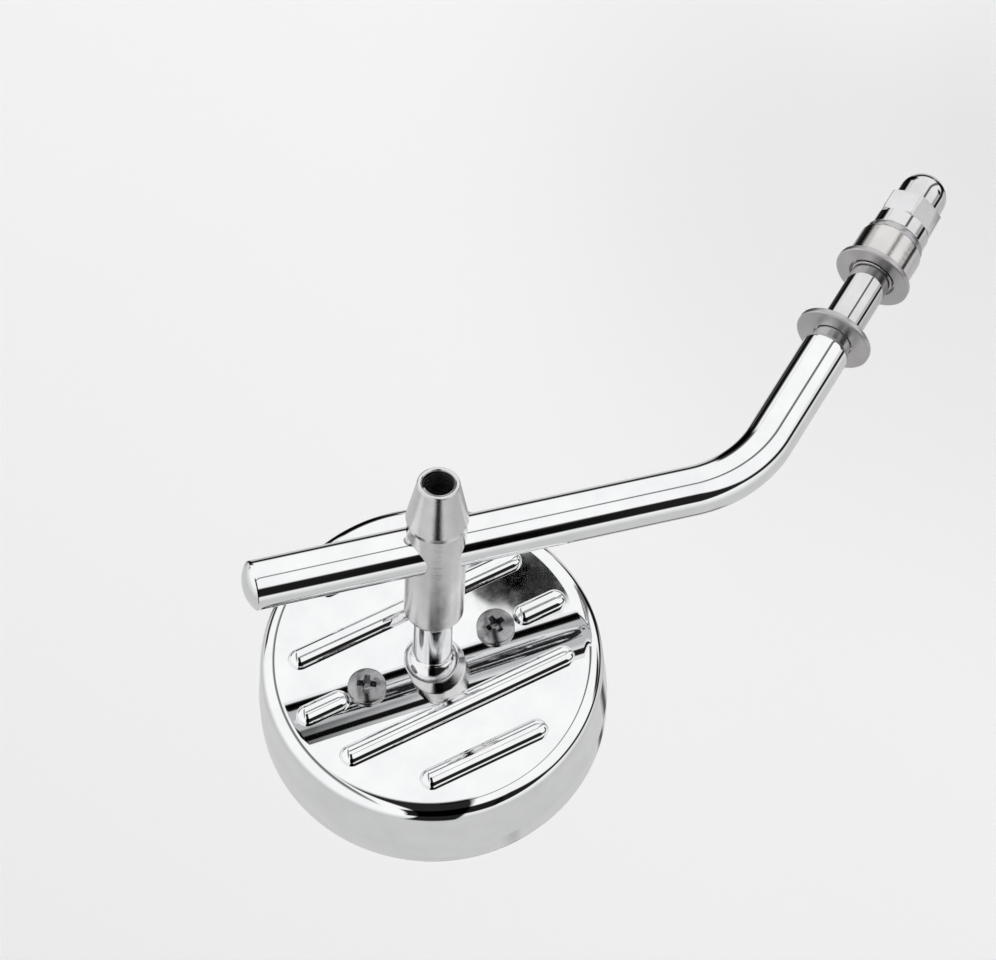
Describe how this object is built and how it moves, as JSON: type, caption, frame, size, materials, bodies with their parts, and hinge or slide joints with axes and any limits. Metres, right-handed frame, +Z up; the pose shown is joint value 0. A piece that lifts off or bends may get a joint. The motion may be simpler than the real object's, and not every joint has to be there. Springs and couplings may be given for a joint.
{
  "type": "motorcycle mirror",
  "caption": "Round rear-view mirror with a ribbed metal back, ball-jointed to a clamp post on a bent round arm with a threaded stud and its washers, spacers and domed nut",
  "frame": {"origin": "on the stud's axis, at the mounting seat under the inner washer, where the bracket's top face lies", "axes": "+Z runs up the stud from the nut to the arm; the arm leans towards +X; the glass faces +Y, towards the rider; +Y is backwards on the machine"},
  "size_m": [0.1089, 0.103, 0.215],
  "materials": {
    "chrome_rod": "bright chrome plate on steel rod",
    "zinc_washer": "plain zinc-plated steel",
    "chrome_hardware": "chrome plate",
    "satin_spacer": "turned steel, satin",
    "spring_steel": "spring steel",
    "satin_post": "satin, with turning marks on the cone",
    "black_screw": "black oxide",
    "polished_ball": "polished",
    "chrome_housing": "bright chrome plate",
    "seat_plastic": "moulded, plain",
    "plain_steel": "plain pressed steel",
    "screw_steel": "plated, slightly dull",
    "gasket_rubber": "matt black",
    "pad_foam": "closed-cell foam",
    "mirror_glass": "silvered convex glass"
  },
  "bodies": {
    "bracket_side": {"spacer_sleeve": "chrome_hardware"},
    "loose_washer": {"inner_washer": "zinc_washer"},
    "arm_body": {"arm": "chrome_rod"},
    "fixings": {"outer_washer": "zinc_washer", "collar_spacer": "satin_spacer", "lock_washer": "spring_steel", "acorn_nut": "chrome_hardware"},
    "post": {"clamp_post": "satin_post", "ball_stud": "polished_ball"},
    "screw": {"set_screw": "black_screw"},
    "seat": {"ball_seat": "seat_plastic"},
    "head": {"housing_pan": "chrome_housing", "pressure_cap": "plain_steel", "upper_disc_spring": "spring_steel", "lower_disc_spring": "spring_steel", "retainer_plate": "plain_steel", "housing_screws": "screw_steel", "bezel_ring": "chrome_housing", "glass_gasket": "gasket_rubber", "backing_disc": "plain_steel", "glass_pad": "pad_foam", "mirror_glass": "mirror_glass"}
  },
  "joints": [
    {"name": "arm_swivel", "type": "hinge", "parent": "bracket_side", "child": "arm_body", "pos_m": [0, 0, 0], "axis": [0, 0, 1], "continuous": true},
    {"name": "washer_play", "type": "slide", "parent": "bracket_side", "child": "loose_washer", "axis": [0, 0, 1], "range_m": [0, 0.003]},
    {"name": "fixings_off", "type": "slide", "parent": "bracket_side", "child": "fixings", "axis": [0, 0, -1], "range_m": [0, 0.055]},
    {"name": "post_turn", "type": "hinge", "parent": "arm_body", "child": "post", "pos_m": [0.05777, 0, 0.10957], "axis": [0.7071, 0, 0.7071], "continuous": true},
    {"name": "set_screw_out", "type": "slide", "parent": "post", "child": "screw", "axis": [0.0898, -0.9919, -0.0898], "range_m": [0, 0.0105]},
    {"name": "ball_pitch", "type": "hinge", "parent": "post", "child": "seat", "pos_m": [0.05359, 0.04612, 0.11375], "axis": [1, 0, 0], "range_deg": [-2, 30]},
    {"name": "ball_yaw", "type": "hinge", "parent": "seat", "child": "head", "pos_m": [0.05359, 0.04612, 0.11375], "axis": [0, 0.1668, 0.986], "range_deg": [-8, 17]}
  ]
}
